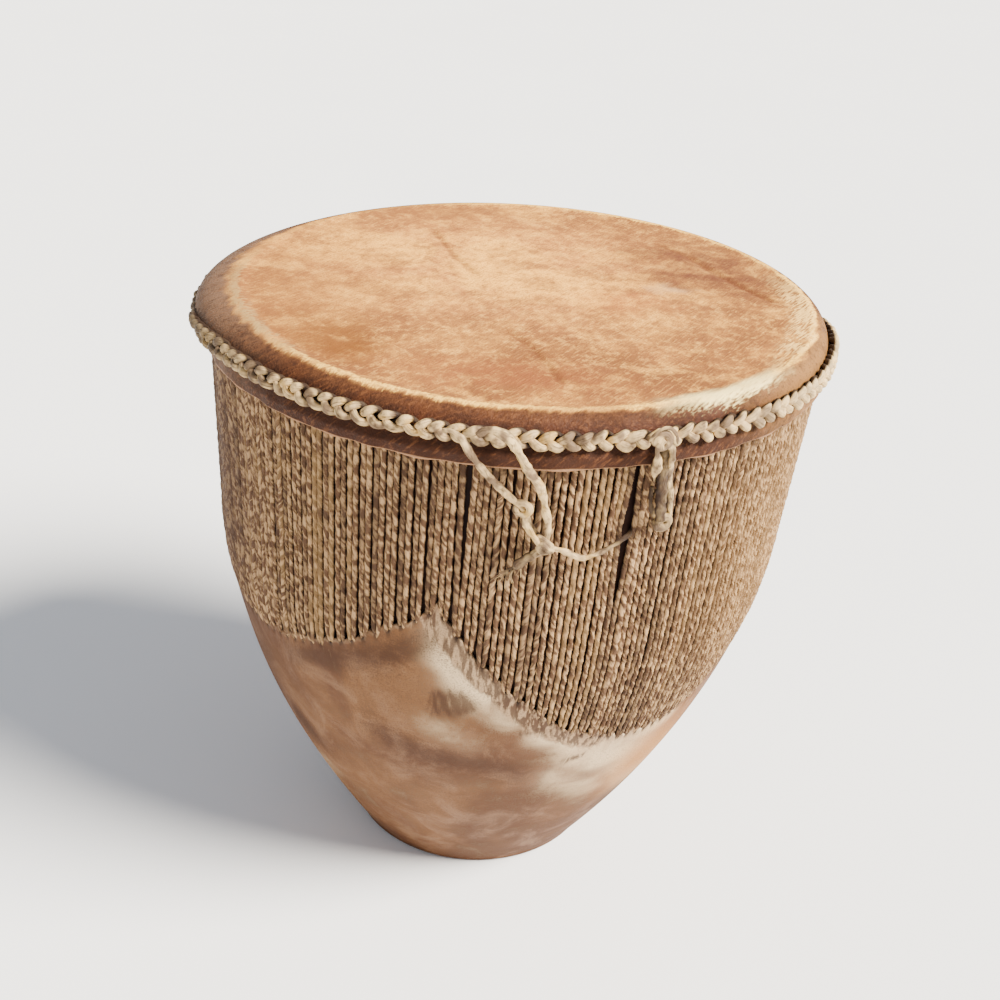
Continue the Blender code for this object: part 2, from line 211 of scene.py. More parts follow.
class Finish:  # a node material
    def __init__(self, name, constants):
        self.material = bpy.data.materials.new(name)
        self.material.use_nodes = True
        self.tree = self.material.node_tree
        self.shader = self.tree.nodes["Principled BSDF"]
        for label, value in constants.items():
            self.shader.inputs[label].default_value = value

    def feed(self, socket, value):
        if isinstance(value, Wire):
            self.tree.links.new(value.socket, socket)
        elif socket.type == "RGBA":
            socket.default_value = (*linear(value), 1.0)
        else:
            socket.default_value = value

    def node(self, kind, settings=None, inputs=None, output=0):
        made = self.tree.nodes.new("ShaderNode" + kind)
        for label, value in (settings or {}).items():
            setattr(made, label, value)
        for label, value in (inputs or {}).items():
            self.feed(made.inputs[label], value)
        return Wire(self, made.outputs[output])

    def place(self):
        return self.node("TexCoord", output="Object")

    def attribute(self, name):
        return self.node("Attribute", {"attribute_name": name}, output="Fac")

    def noise(self, place, scale, detail=3.0, roughness=0.55, distortion=0.0):
        values = {"Vector": place, "Scale": scale, "Detail": detail, "Roughness": roughness}
        return self.node("TexNoise", None, {**values, "Distortion": distortion})

    def step(self, value, low, high, first=0.0, last=1.0):
        values = {"Value": value, "From Min": low, "From Max": high, "To Min": first, "To Max": last}
        return self.node("MapRange", {"interpolation_type": "SMOOTHSTEP"}, values)

    def mix(self, share, first, second):
        return self.node("Mix", {"data_type": "RGBA"}, {0: share, 6: first, 7: second}, 2)

    def stretch(self, place, turn, size):  # size is how far features are drawn out along each axis
        return self.node("Mapping", {"vector_type": "TEXTURE"},
                         {"Vector": place, "Rotation": tuple(math.radians(a) for a in turn), "Scale": size})

    def weave(self, size, detail):  # noise round and along a strand
        strand = self.node("UVMap", {"uv_map": "weave"})
        return self.noise(self.node("Mapping", None, {"Vector": strand, "Scale": (*size, 1.0)}), 1.0, detail)

    def vector(self, operation, first, second, output=0):
        return self.node("VectorMath", {"operation": operation}, {0: first, 1: second}, output)

    def warp(self, place, scale, reach):  # pushes places about, so that masks lose their plain outlines
        push = self.node("TexNoise", None, {"Vector": place, "Scale": scale, "Detail": 3.0}, "Color")
        push = self.vector("MULTIPLY", self.vector("SUBTRACT", push, (0.5, 0.5, 0.5)), (reach, reach, reach))
        return self.vector("ADD", place, push)

    def spot(self, place, centre, size, soft):  # 1 at a centre, 0 outside an ellipsoid of that size
        middle = tuple(c / s for c, s in zip(centre, size))
        away = self.vector("DISTANCE", self.vector("DIVIDE", place, size), middle, "Value")
        return self.step(away, 1.0, 1.0 - soft)

    def stainsAndShade(self, colour, *rows):  # tints over a colour, each where its mask goes from low to high: stains, and at some calls painted shade
        for mask, low, high, most, tint in rows:
            colour = self.mix(self.step(mask, low, high, 0.0, most), colour, tint)
        return colour

    def paintedLightAndShade(self, colour, place, *rows):  # painted light and shade: tints over a colour, each inside a soft ellipsoid
        for centre, size, soft, most, tint in rows:
            colour = self.mix(self.spot(place, centre, size, soft) * most, colour, tint)
        return colour

    def shade(self, colour, roughness=None, bump=None, strength=0.5, distance=0.001):
        self.feed(self.shader.inputs["Base Color"], colour)
        if roughness is not None:
            self.feed(self.shader.inputs["Roughness"], roughness)
        if bump is not None:
            normal = self.node("Bump", None, {"Height": bump, "Strength": strength, "Distance": distance})
            self.feed(self.shader.inputs["Normal"], normal)
        return self.material


def awayFromSpan(x, y, dx, dy):  # how far points are from a straight span that starts at 0, 0
    share = np.clip((x * dx + y * dy) / (dx * dx + dy * dy), 0.0, 1.0)
    return np.hypot(x - share * dx, y - share * dy)


def painted(angle, height, strokes):  # how near points on the side are to strokes: 1 on them, 0 away
    nearness = np.zeros(np.broadcast(angle, height).shape)
    for points, half, strength in strokes:
        for (firstAngle, firstHeight), (lastAngle, lastHeight) in zip(points, points[1:]):
            wide = math.pi / 180.0 * woodRadius(0.5 * (firstHeight + lastHeight))
            away = awayFromSpan(turnFrom(firstAngle, angle) * wide, height - firstHeight,
                                (lastAngle - firstAngle) * wide, lastHeight - firstHeight)
            nearness = np.maximum(nearness, strength * np.exp(-0.7 * (away / half) ** 2))
    return nearness


def skin(name, tubes, values=None, along=None, loop=False):  # a mesh skinned over rings of points
    points, quads, caps, uvs = [], [], [], []
    start = 0
    for number, rings in enumerate(tubes):
        count, columns = rings.shape[:2]
        points.append(rings.reshape(-1, 3))
        index = start + np.arange(count * columns).reshape(count, columns)
        start += count * columns
        if loop:
            index = np.vstack([index, index[:1]])
        after = np.roll(index, -1, axis=1)
        quads.append(np.stack([index[:-1], after[:-1], after[1:], index[1:]], -1).reshape(-1, 4))
        if not loop:
            caps += [index[0][::-1].tolist(), index[-1].tolist()]
        if along is not None:
            here = along[number]
            here = np.append(here, 2.0 * here[-1] - here[-2]) if loop else here
            u = np.stack([np.arange(columns), np.arange(1, columns + 1)], -1) / columns
            u = np.broadcast_to(u[None, :, [0, 1, 1, 0]], (len(here) - 1, columns, 4))
            v = np.stack([here[:-1], here[:-1], here[1:], here[1:]], -1)
            v = np.broadcast_to(v[:, None, :], u.shape)
            uvs.append(np.stack([u, v], -1).reshape(-1, 4, 2))
    points, quads = np.concatenate(points), np.concatenate(quads)
    corners = points[quads] - points[quads].mean(axis=(0, 1))
    inside = np.einsum("ij,ij->", corners[:, 0], np.cross(corners[:, 1], corners[:, 2]))
    if inside < 0.0:  # inside out, so every face is turned round
        quads = quads[:, ::-1]
        caps = [cap[::-1] for cap in caps]
        uvs = [uv[:, ::-1] for uv in uvs]
    mesh = bpy.data.meshes.new(name)
    mesh.from_pydata(points.tolist(), [], quads.tolist() + caps)
    for label, arrays in (values or {}).items():
        flat = np.concatenate([np.asarray(a, dtype=np.float32).reshape(-1) for a in arrays])
        mesh.attributes.new(label, "FLOAT", "POINT").data.foreach_set("value", flat)
    if along is not None:
        layer = np.zeros((len(mesh.loops), 2), dtype=np.float32)
        layer[:quads.size] = np.concatenate(uvs).reshape(-1, 2)
        mesh.uv_layers.new(name="weave").data.foreach_set("uv", layer.reshape(-1))
    mesh.shade_smooth()
    return mesh


def addObject(name, data):
    made = bpy.data.objects.new(name, data)
    bpy.context.scene.collection.objects.link(made)
    return made


def addPiece(name, mesh, material, replaced=()):
    mesh.materials.append(material)
    piece = addObject(name, mesh)
    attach(piece, "root")
    if replaced:
        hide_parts(*replaced)
    return piece


def smoothRoute(route, step):  # an evenly stepped Catmull-Rom curve through given points
    points = np.array(route, dtype=float)
    points = np.vstack([2.0 * points[0] - points[1], points, 2.0 * points[-1] - points[-2]])
    t = np.arange(40)[:, None] / 40.0
    curve = []
    for a, b, c, d in zip(points, points[1:], points[2:], points[3:]):
        curve.append(0.5 * (2.0 * b + (c - a) * t + (2.0 * a - 5.0 * b + 4.0 * c - d) * t ** 2
                            + (3.0 * b - a - 3.0 * c + d) * t ** 3))
    curve = np.vstack([*curve, points[-2:-1]])
    lengths = np.append(0.0, np.cumsum(np.linalg.norm(np.diff(curve, axis=0), axis=1)))
    even = np.linspace(0.0, lengths[-1], max(8, round(lengths[-1] / step)) + 1)
    return np.stack([np.interp(even, lengths, curve[:, axis]) for axis in range(3)], -1), even


def frames(path, hint, closed=False):  # directions across and out of a path, near a hinted outward one
    if closed:
        tangent = unit(np.roll(path, -1, axis=0) - np.roll(path, 1, axis=0))
    else:
        tangent = unit(np.gradient(path, axis=0))
    across = unit(np.cross(tangent, hint))
    return across, unit(np.cross(across, tangent))


def tube(path, directions, halfWidth, halfDepth, twist, sides, waist=1.0):  # rings round a path
    across, outward = directions
    around = np.arange(sides) * 2.0 * math.pi / sides
    pinch = 1.0 - (1.0 - waist) * np.sin(around) ** 2
    u = np.multiply.outer(halfWidth, np.cos(around) * pinch)
    v = np.multiply.outer(halfDepth, np.sin(around) * pinch)
    c, s = np.cos(twist)[:, None], np.sin(twist)[:, None]
    x, y = u * c - v * s, u * s + v * c
    rings = path[:, None, :] + x[..., None] * across[:, None, :] + y[..., None] * outward[:, None, :]
    return rings, y / np.maximum(np.abs(y).max(), 1e-9)


# Camera at the photograph's viewing angle
camera = {"lens": 50.0, "sensor": 36.0, "target": (0.0117, 0.0, 0.224), "distance": 1.0913,
          "elevation": 31.148, "roll": -4.138, "yaw": 0.047, "pitch": -2.451}


def makeCamera():
    data = bpy.data.cameras.new("camera")
    data.lens = camera["lens"]
    data.sensor_width = camera["sensor"]
    made = addObject("camera", data)
    rise = math.radians(camera["elevation"])
    back = Vector((0.0, -math.cos(rise), math.sin(rise))) * camera["distance"]
    place = Matrix.Translation(Vector(camera["target"]) + back)
    turns = ((90.0 - camera["elevation"], "X"), (-camera["roll"], "Z"),
             (camera["yaw"], "Y"), (-camera["pitch"], "X"))
    for angle, axis in turns:
        place = place @ Matrix.Rotation(math.radians(angle), 4, axis)
    made.matrix_world = place
    bpy.context.scene.camera = made
    print("camera placed")


# Rawhide of the plait and the loose thongs
rawhide = {"cream": (212, 178, 124), "grey": (120, 96, 70), "yellow": (192, 152, 80),
           # the darkest colour serves for dirt and for painted shade
           "dirtAndShade": (44, 28, 17), "grain": 0.0012,
           "paintedLightAndShade": (  # painted shade on the left side and painted light on the right side, each as centre, size, softness, strength and tint
               ((-0.23, -0.02, 0.43), (0.17, 0.22, 0.10), 0.8, 0.85, (70, 58, 46)),
               ((0.24, -0.06, 0.43), (0.15, 0.18, 0.10), 0.8, 0.3, (255, 222, 160)))}


def rawhideFinish(name, darker=0.0):
    finish = Finish(name, {"Specular IOR Level": 0.2})
    place = finish.place()
    patch = finish.noise(place, 90.0, 2.0)
    blotch = finish.noise(place, 260.0, 3.0)
    fibre = finish.weave((16.0, 130.0), 3.0)
    colour = finish.mix(finish.step(patch, 0.42, 0.62), rawhide["cream"], rawhide["grey"])
    colour = finish.stainsAndShade(colour, (patch, 0.42, 0.32, 0.8, rawhide["yellow"]),
                          (blotch, 0.50, 0.72, 0.5, rawhide["dirtAndShade"]),
                          (fibre, 0.50, 0.70, 0.7, rawhide["dirtAndShade"]))
    # painted shade on the left side and painted light on the right side
    colour = finish.paintedLightAndShade(colour, place, *rawhide["paintedLightAndShade"])
    # painted shade where the rawhide sinks into a knot or the plait or faces the drum, plus each cord's
    # listed darkening
    colour = finish.stainsAndShade(colour, (finish.attribute("sunk"), 0.18, 0.52, 0.97, rawhide["dirtAndShade"]))
    # darker finishes as a whole; the darkest of them is painted shade
    colour = finish.mix(darker, colour, rawhide["dirtAndShade"])
    bump = fibre * 0.9 + blotch * 0.5
    return finish.shade(colour, finish.step(blotch, 0.3, 0.7, 0.5, 0.75), bump, 0.8, rawhide["grain"])


# Loose thongs, each a real length of rawhide cord, on the routes that their solids take
thong = {"diameter": 0.0046, "halfWidth": 0.0026, "halfDepth": 0.0017, "step": 0.0008, "sides": 12,
         "turnReach": 0.035, "turn": 1.1, "seed": 11}
leftRoute = (
    (-0.0268, -0.2271, 0.4435), (-0.0205, -0.2282, 0.4437), (-0.0151, -0.2286, 0.4393),
    (-0.0101, -0.2292, 0.4310), (-0.0045, -0.2278, 0.4230), (0.0004, -0.2256, 0.4161),
    (0.0061, -0.2229, 0.4091), (0.0117, -0.2216, 0.4029), (0.0218, -0.2209, 0.3933),
    (0.0247, -0.2192, 0.3867), (0.0272, -0.2180, 0.3802), (0.0314, -0.2173, 0.3739),
    (0.0381, -0.2177, 0.3675), (0.0341, -0.2175, 0.3630), (0.0271, -0.2168, 0.3569),
    (0.0212, -0.2163, 0.3502), (0.0152, -0.2158, 0.3464),
)
rightRoute = (
    (-0.0067, -0.2296, 0.4432), (-0.0009, -0.2302, 0.4475), (0.0052, -0.2313, 0.4468),
    (0.0124, -0.2318, 0.4424), (0.0188, -0.2306, 0.4319), (0.0246, -0.2284, 0.4213),
    (0.0303, -0.2252, 0.4125), (0.0336, -0.2228, 0.4025), (0.0358, -0.2212, 0.3923),
    (0.0381, -0.2204, 0.3837), (0.0381, -0.2177, 0.3675), (0.0474, -0.2161, 0.3641),
    (0.0538, -0.2152, 0.3610), (0.0605, -0.2135, 0.3582), (0.0668, -0.2115, 0.3593),
    (0.0728, -0.2094, 0.3616), (0.0790, -0.2071, 0.3650), (0.0840, -0.2044, 0.3678),
    (0.0882, -0.2004, 0.3697), (0.0893, -0.1945, 0.3700),
)
tieRoute = (
    (0.0995, -0.2132, 0.4415), (0.1054, -0.2103, 0.4350), (0.1070, -0.2078, 0.4265),
    (0.1073, -0.2033, 0.4190), (0.1082, -0.1975, 0.4067), (0.1101, -0.1952, 0.3940),
    (0.1114, -0.1938, 0.3826), (0.1066, -0.1965, 0.3775), (0.1016, -0.1987, 0.3835),
    (0.0988, -0.2004, 0.3911), (0.0980, -0.2011, 0.3985), (0.0983, -0.2017, 0.4040),
)
shortRoute = (
    (0.0995, -0.2132, 0.4415), (0.0973, -0.2137, 0.4350), (0.0984, -0.2105, 0.4250),
    (0.0987, -0.2040, 0.4128), (0.0991, -0.2028, 0.4080),
)
cords = {  # sizes and darkening are given at points of the length; nodes are the ones that a cord stands for
    "thongLeft": {"route": leftRoute, "length": 0.139, "farEnd": "bare",
                  "size": ((0.0, 0.6), (0.1, 1.0), (0.75, 0.95), (0.88, 1.1), (1.0, 0.4)),
                  "dirtAndShade": ((0.0, 0.0), (0.86, 0.0), (0.93, 0.35), (1.0, 0.45)),
                  "nodes": ("thong_left", "thong_middle", "thong_tail"),
                  "riders": ("knotUpper", "knotLower", "tailTuft", "tailWisps")},
    "thongRight": {"route": rightRoute, "length": 0.164, "farEnd": "object",
                   "size": ((0.0, 0.8), (0.10, 1.3), (0.3, 1.15), (0.6, 0.9), (0.85, 0.75), (1.0, 0.5)),
                   "dirtAndShade": ((0.0, 0.1), (0.1, 0.0), (0.75, 0.0), (0.88, 0.18), (1.0, 0.5)),
                   "nodes": ("thong_right", "thong_sag"), "riders": ()},
    "tieLong": {"route": tieRoute, "length": 0.101, "farEnd": "bare",
                "size": ((0.0, 0.8), (0.2, 0.9), (0.5, 1.1), (0.7, 0.8), (1.0, 0.5)),
                "dirtAndShade": ((0.0, 0.0), (0.25, 0.05), (0.45, 0.22), (1.0, 0.25)),
                "nodes": ("tie_long", "tie_back"), "riders": ("tieKnot", "tieHitch", "tieStrip", "tieArch")},
    "tieShort": {"route": shortRoute, "length": 0.036, "farEnd": "bare",
                 "size": ((0.0, 0.8), (0.25, 0.8), (0.6, 1.35), (0.85, 0.9), (1.0, 0.4)),
                 "dirtAndShade": ((0.0, 0.0), (1.0, 0.05)), "nodes": ("tie_short",), "riders": ()},
}
wraps = {  # middle, half thickness, darkness, end size, nodes, and a path around, up and outwards in mm
    "knotUpper": (leftRoute[8], 0.0019, 0.0, 0.6, ("knot_upper",), (
        (-5.5, 4.2, 0.0), (-3.0, 4.6, 1.2), (0.4, 5.0, 2.2), (3.8, 3.0, 2.6), (4.4, -0.6, 2.2),
        (1.8, -3.4, 1.4), (-1.8, -3.2, 0.8), (-4.0, -0.6, 0.6), (-3.0, 2.4, -0.4), (0.6, 3.0, -1.2),
        (2.4, 0.0, -1.0), (1.6, -4.2, 0.4), (2.4, -9.0, 1.2), (6.0, -15.0, 1.6), (9.6, -20.0, 1.6),
        (11.8, -24.0, 0.8))),
    "knotLower": (leftRoute[12], 0.0020, 0.15, 0.6, ("knot_lower",), (
        (-7.4, 6.6, 0.4), (-4.0, 6.0, 2.2), (-0.6, 3.6, 3.0), (2.2, 0.6, 2.4), (1.0, -3.0, 1.4),
        (-2.4, -3.6, 1.4), (-4.6, -0.6, 2.0), (-2.6, 2.6, 3.6), (0.4, -0.4, 3.8), (3.2, -2.4, 1.8),
        (0.0, -4.6, 0.4))),
    "tieKnot": (tieRoute[7], 0.0024, 0.5, 0.6, ("tie_knot",), (
        (-5.6, 3.0, 0.6), (-2.6, -1.6, 1.8), (1.6, -2.8, 2.2), (5.0, 0.2, 1.6), (3.6, 3.6, 0.8),
        (-0.6, 3.8, 2.2), (-4.0, 1.4, 2.6), (-2.0, -3.0, 1.4), (3.0, -4.0, 0.8))),
    "tieHitch": (tieRoute[0], 0.0025, 0.0, 0.6, ("tie_hitch",), (
        (-5.6, -3.4, 0.4), (-4.6, 1.6, 1.8), (-1.4, 4.2, 2.6), (2.0, 2.2, 3.0), (2.6, -2.6, 2.4),
        (-0.6, -5.0, 1.8), (-2.8, -2.0, 2.6), (-0.4, 1.0, 3.4))),
    "tailTuft": (leftRoute[14], 0.0027, 0.5, 0.3, (), (
        (4.0, 3.0, 1.0), (0.0, 1.0, 0.8), (-4.4, -3.4, 0.6), (-8.0, -7.0, 0.2))),
    "tieStrip": (tieRoute[3], 0.0032, 0.8, 0.9, (), (
        (-4.6, 18.0, 0.8), (-4.8, 8.0, -0.2), (-4.4, -2.0, -0.8), (-3.6, -14.0, -0.8), (-3.0, -26.0, -0.6),
        (-2.6, -36.0, 0.4))),
    "tieArch": (tieRoute[0], 0.0010, 0.0, 0.6, (), (
        (-9.4, -0.6, 0.6), (-6.6, 4.6, 2.4), (-2.4, 8.2, 3.4), (2.4, 8.0, 3.8), (6.8, 3.0, 3.6),
        (9.4, -3.4, 1.4))),
}
winding = {"step": 0.0007, "halfWidth": 1.15, "halfDepth": 0.8, "turnReach": 0.02, "turn": 0.5,
           "outOfKnot": 0.35, "swell": (0.012, 0.12), "sunkDepth": 0.005, "sides": 12}
wisps = {"count": 16, "thickness": 0.00045, "length": (0.006, 0.014), "spread": 0.9, "seed": 31}
# finishes by how much darker they are made; the darkest, on the strip between the tie's legs, is painted
# shade
shades = {0.0: "rawhideThong", 0.15: "rawhideHandled", 0.5: "rawhideWorn", 0.8: "rawhideShaded"}


def awayFromAxis(points):
    away = np.array(points)
    away[:, 0] -= drum["headLean"] * away[:, 2] / drum["height"]
    away[:, 2] = 0.0
    return unit(away)


def directionsAt(centre):  # around, up and outwards
    away = awayFromAxis([centre])[0]
    return np.array([(-away[1], away[0], 0.0), (0.0, 0.0, 1.0), away])


def windCord(name, centre, half, darkening, endSize, nodes, offsets, finishes, draw):
    directions = directionsAt(centre)
    middle, away = np.array([centre]), directions[2]
    path, along = smoothRoute(middle + np.array(offsets) * 0.001 @ directions, winding["step"])
    sideways = frames(path, unit(away + winding["outOfKnot"] * unit(path - middle)))
    size = 1.0 + wander(along, draw, *winding["swell"])
    size *= np.interp(along / along[-1], (0.0, 0.06, 0.85, 1.0), (0.55, 1.0, 1.0, endSize))
    twist = wander(along, draw, winding["turnReach"], winding["turn"])
    rings, _ = tube(path, sideways, half * winding["halfWidth"] * size, half * winding["halfDepth"] * size,
                    twist, winding["sides"])
    # painted shade: a winding is darker the deeper it sinks into its knot
    sunk = np.clip(0.55 - (rings - middle) @ away / winding["sunkDepth"], 0.0, 0.7)
    mesh = skin(name, [rings], {"sunk": [sunk]}, [along])
    return addPiece(name, mesh, finishes[darkening], nodes)


def makeWisps(material, draw):
    around, up, away = directionsAt(leftRoute[15])
    tubes, sunk, along = [], [], []
    for _ in range(wisps["count"]):
        share = draw.uniform(0.0, 1.0)
        start = np.array(leftRoute[14]) * (1.0 - share) + np.array(leftRoute[16]) * share + away * 0.0006
        turn = draw.normal(-2.0, 0.5 * wisps["spread"])
        heading = around * math.cos(turn) + up * math.sin(turn)
        bend = draw.normal(0.0, 0.3, 2)
        reach = draw.uniform(*wisps["length"])
        route = [start + heading * reach * t + (around * bend[0] + away * abs(bend[1])) * reach * t * t
                 for t in (0.0, 0.33, 0.66, 1.0)]
        path, here = smoothRoute(route, 0.001)
        size = wisps["thickness"] * np.linspace(1.2, 0.35, len(path))
        rings, _ = tube(path, frames(path, awayFromAxis(path)), size, size, np.zeros(len(path)), 6)
        tubes.append(rings)
        sunk.append(np.full(rings.shape[:2], draw.uniform(0.0, 0.4)))
        along.append(here)
    return addPiece("tailWisps", skin("tailWisps", tubes, {"sunk": sunk}, along), material)


def makeCords():
    finishes = {darkening: rawhideFinish(name, darkening) for darkening, name in shades.items()}
    pale = finishes[0.0]
    draw = np.random.default_rng(thong["seed"])
    made = {name: windCord(name, *wrap, finishes, draw) for name, wrap in wraps.items()}
    made["tailWisps"] = makeWisps(pale, np.random.default_rng(wisps["seed"]))
    for name, cord in cords.items():
        path, along = smoothRoute(cord["route"], thong["step"])
        share = along / along[-1]
        size = 1.0 + wander(along, draw, 0.02, 0.12)
        size *= np.interp(share, *np.array(cord["size"]).T)
        twist = wander(along, draw, thong["turnReach"], thong["turn"])
        rings, high = tube(path, frames(path, awayFromAxis(path)), thong["halfWidth"] * size,
                           thong["halfDepth"] * size, twist, thong["sides"])
        # the listed darkening along the length, plus painted shade on the side that faces the drum
        dirtAndShade = np.interp(share, *np.array(cord["dirtAndShade"]).T)[:, None] + np.clip(0.28 - 0.36 * high, 0.0, 0.5)
        piece = addPiece(name, skin(name, [rings], {"sunk": [dirtAndShade]}, [along]), pale, cord["nodes"])
        print(name, "is", round(float(along[-1]), 4), "m long")


# The plaited band: three strands of rawhide, each crossing from edge to edge and back
plait = {"periods": 43, "ringsPerPeriod": 28, "sides": 10, "halfWidth": 0.0024, "halfDepth": 0.0019,
         "reach": 0.0038, "depthReach": 0.0020, "swell": 0.26, "standOff": 0.0029, "wander": 0.00055,
         "rough": 0.11, "seed": 5}


def makePlait():
    draw = np.random.default_rng(plait["seed"])
    count = plait["periods"] * plait["ringsPerPeriod"]
    angle = drum["firstCorner"] + 360.0 * np.arange(count) / count
    tubes, sunk, along = [], [], []
    for strand in range(3):
        phase = np.radians(360.0 * plait["periods"] * np.arange(count) / count + 120.0 * strand)
        phase += ringWander(angle, draw, (17, 29, 41), 0.38)
        lift = plait["reach"] * np.sin(phase) + ringWander(angle, draw, (37, 53, 71), plait["wander"])
        depth = plait["depthReach"] * np.sin(2.0 * phase)
        depth = depth + ringWander(angle, draw, (31, 47), plait["wander"])
        middle = plaitMiddle(angle)
        seat = headOutside(angle, middle + 0.8 * lift - 0.002)
        seat = seat + plait["standOff"] * (1.0 - 0.4 * plaitEase(angle))
        path = spots(angle, seat + depth, middle + lift)
        hint = unit(spots(angle, 1.0, middle) - spots(angle, 0.0, middle))
        size = 1.0 + plait["swell"] * np.sin(2.0 * phase) + ringWander(angle, draw, (61, 83, 127), 0.11)
        twist = ringWander(angle, draw, (43, 59), 0.25)
        rings, high = tube(path, frames(path, hint, True), plait["halfWidth"] * size,
                           plait["halfDepth"] * size, twist, plait["sides"])
        rough = draw.normal(0.0, 1.0, (count, plait["sides"]))
        for _ in range(2):
            rough = smoothed(rough, 0)
        tubes.append(path[:, None] + (rings - path[:, None]) * (1.0 + plait["rough"] * rough[..., None]))
        # painted shade: strands are darker where they dip under the others and on their side facing the drum
        low = 0.5 - 0.5 * depth[:, None] / plait["depthReach"]
        sunk.append(np.clip(0.66 * low + 0.46 * (0.45 - high), 0.0, 1.0))
        along.append(np.radians(angle) * drum["shoulderRadius"])
    mesh = skin("plait", tubes, {"sunk": sunk}, along, True)
    addPiece("plait", mesh, rawhideFinish("rawhidePlait", 0.08), ("braid",))
    print("plait made")


# Laces: pairs of twisted strands down the side, each tucked under both hides
laces = {"pairs": 146, "width": 0.0047, "depth": 0.0041, "waist": 0.93, "step": 0.0017, "sides": 8,
         "twist": 0.020, "pairing": 0.11, "evenFrom": -97.0, "wander": 0.00008, "sway": 0.00016,
         "topLift": 0.0045, "tuckIn": 0.0045, "unevenEnds": 0.0012, "tuckDepth": 0.0014,
         "openingSpread": 0.0085, "openingFade": 0.03,
         "tuckLength": 0.007, "pinch": 0.26, "pinchLength": 0.020, "seed": 21, "parts": "ABCD",
         "light": (178, 142, 100), "mid": (92, 66, 46), "brown": (54, 38, 27),
         # the last colour is painted shade between the strands
         "yellow": (152, 120, 76), "dirtAndShade": (18, 10, 7),
         # painted shade on the left side and painted light on the right side
         "paintedLightAndShade": (((-0.23, -0.02, 0.33), (0.16, 0.19, 0.20), 0.7, 0.8, (76, 58, 50)),
                  ((0.24, -0.06, 0.32), (0.19, 0.21, 0.20), 0.7, 0.3, (162, 122, 66)))}
openings = (  # angle, upper and lower height, half width: places where the laces part
    (-95.5, 0.430, 0.322, 0.0022), (-68.1, 0.430, 0.368, 0.0017), (-69.0, 0.374, 0.316, 0.0026),
    (-30.0, 0.430, 0.360, 0.0010), (-124.0, 0.430, 0.330, 0.0008), (-88.4, 0.430, 0.350, 0.0007),
    (-111.0, 0.430, 0.360, 0.0006), (40.0, 0.430, 0.340, 0.0015), (121.0, 0.430, 0.350, 0.0012),
)
oddLaces = (  # angle, tone and size of laces that stand out
    (-69.7, 0.97, 1.05), (-67.4, 0.25, 1.3), (-77.0, 0.0, 1.0), (-123.5, 0.02, 1.0), (-30.5, 0.95, 1.1),
)


def laceList(draw):
    pitch = 360.0 / laces["pairs"]
    found = []
    for pair in range(laces["pairs"]):
        middle = drum["firstCorner"] + pitch * (pair + 0.5) + draw.normal(0.0, 0.04)
        even = 0.5 + 0.5 * math.tanh(turnFrom(laces["evenFrom"], middle) / 4.0)
        close = laces["pairing"] * (1.0 - 0.6 * even) * draw.uniform(0.5, 1.5)
        for side in (-1.0, 1.0):
            found.append({"middle": middle,
                          "angle": middle + side * 0.25 * pitch * (1.0 - close) + draw.normal(0.0, 0.03),
                          "size": draw.normal(1.0, 0.04), "tone": draw.uniform(0.0, 1.0),
                          "hand": -1.0 if draw.uniform() < 0.12 else 1.0,
                          "twist": laces["twist"] * draw.uniform(0.85, 1.2),
                          "depth": draw.normal(1.0, 0.05)})
    for angle, tone, size in oddLaces:
        odd = min(found, key=lambda lace: abs(turnFrom(angle, lace["angle"])))
        odd.update(tone=tone, size=size)
    return found


def laceMesh(name, group, draw):
    tubes, tones, crests, along = [], [], [], []
    top = hemHeight + laces["topLift"]
    for lace in group:
        edge = float(edgeHeight(np.array([lace["middle"]]))[0])
        bottom = edge - laces["tuckIn"] + draw.normal(0.0, laces["unevenEnds"])
        down = np.linspace(0.0, top - bottom, max(12, round((top - bottom) / laces["step"])))
        height = top - down
        fromEnd = height - bottom
        pinch = laces["pinch"] * np.clip(1.0 - fromEnd / laces["pinchLength"], 0.0, 1.0) ** 1.3
        angle = lace["angle"] + (lace["middle"] - lace["angle"]) * pinch * 1.4
        shift = wander(down, draw, 0.08, laces["wander"])
        radius = woodRadius(height)
        for at, upper, lower, half in openings:
            away = (angle - at) * math.pi / 180.0 * radius
            rise = np.clip((height - lower) / (upper - lower), 0.0, 1.0) ** 0.6
            rise = rise * np.clip((upper + laces["openingFade"] - height) / laces["openingFade"], 0.0, 1.0)
            shift += np.sign(away) * half * rise * bell(away, laces["openingSpread"])
        angle = angle + np.degrees(shift / radius)
        tuck = np.clip(1.0 - fromEnd / laces["tuckLength"], 0.0, 1.0)
        offset = drum["gap"] + 0.5 * laces["width"] - laces["tuckDepth"] * tuck
        offset = offset + wander(down, draw, 0.05, laces["sway"])
        path = spots(angle, sideRadius(height, offset), height)
        outward = outwards(angle, height)
        across = unit(np.cross(unit(np.gradient(path, axis=0)), outward))
        squeeze = radius / drum["shoulderRadius"]
        size = lace["size"] * squeeze * (1.0 + wander(down, draw, 0.03, 0.035)) * (1.0 - pinch)
        twist = lace["hand"] * 2.0 * math.pi * down / lace["twist"] + wander(down, draw, 0.06, 0.7)
        rings, high = tube(path, (across, outward), 0.5 * laces["width"] * size,
                           0.5 * laces["depth"] * size * lace["depth"], twist + draw.uniform(*anyPhase),
                           laces["sides"], laces["waist"])
        tubes.append(rings)
        tones.append(np.full(rings.shape[:2], lace["tone"]))
        crests.append(high * 0.5 + 0.5)
        along.append(down + draw.uniform(0.0, 1.0))
    return skin(name, tubes, {"tone": tones, "crest": crests}, along)


